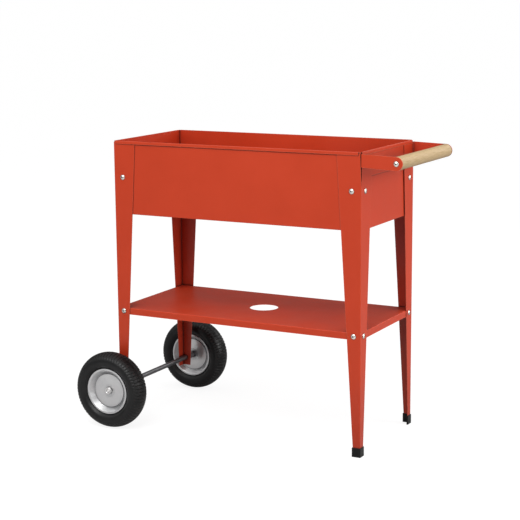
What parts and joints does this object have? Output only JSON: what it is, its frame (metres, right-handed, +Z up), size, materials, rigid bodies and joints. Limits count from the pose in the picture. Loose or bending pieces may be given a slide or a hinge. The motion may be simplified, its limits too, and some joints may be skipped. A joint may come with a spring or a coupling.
{
  "type": "two-wheeled planter cart",
  "caption": "Raised planter trolley: sheet-steel trough and shelf on four tapered legs, wooden push handle at one end, two disc wheels on an axle at the other.",
  "frame": {"origin": "on the floor, under the middle of the cart's box", "axes": "+Z up, +X from the wheels to the handle, +Y across the cart to the side away from the viewer"},
  "size_m": [0.9619, 0.5282, 0.806],
  "materials": {
    "red_steel": "satin powder coat, orange red",
    "zinc_steel": "bright zinc plate",
    "pressed_steel": "silver painted pressed steel",
    "wood": "pale turned hardwood, oiled",
    "tyre_rubber": "black rubber",
    "black_plastic": "moulded plastic"
  },
  "bodies": {
    "cart": {"side_panel_left": "red_steel", "side_panel_right": "red_steel", "end_panel_wheel": "red_steel", "end_panel_handle": "red_steel", "trough_floor": "red_steel", "leg_wheel_left": "red_steel", "leg_wheel_right": "red_steel", "leg_handle_left": "red_steel", "leg_handle_right": "red_steel", "shelf": "red_steel", "handle_bracket": "red_steel", "handle_grip": "wood", "handle_screws": "zinc_steel", "trough_bolts": "zinc_steel", "trough_washers": "zinc_steel", "trough_nuts": "zinc_steel", "shelf_bolts": "zinc_steel", "shelf_washers": "zinc_steel", "shelf_nuts": "zinc_steel", "axle": "zinc_steel", "axle_washers": "zinc_steel", "axle_spacers": "zinc_steel", "axle_caps": "zinc_steel", "foot_cap_left": "black_plastic", "foot_cap_right": "black_plastic"},
    "wheel_left": {"tyre_left": "tyre_rubber", "outer_disc_left": "pressed_steel", "inner_disc_left": "pressed_steel", "rim_barrel_left": "zinc_steel", "hub_tube_left": "zinc_steel", "hub_bushes_left": "black_plastic"},
    "wheel_right": {"tyre_right": "tyre_rubber", "outer_disc_right": "pressed_steel", "inner_disc_right": "pressed_steel", "rim_barrel_right": "zinc_steel", "hub_tube_right": "zinc_steel", "hub_bushes_right": "black_plastic"}
  },
  "joints": [
    {"name": "left_wheel_spin", "type": "hinge", "parent": "cart", "child": "wheel_left", "pos_m": [-0.373, -0.23115, 0.108], "axis": [0, 1, 0], "continuous": true},
    {"name": "right_wheel_spin", "type": "hinge", "parent": "cart", "child": "wheel_right", "pos_m": [-0.373, 0.23115, 0.108], "axis": [0, 1, 0], "continuous": true}
  ]
}
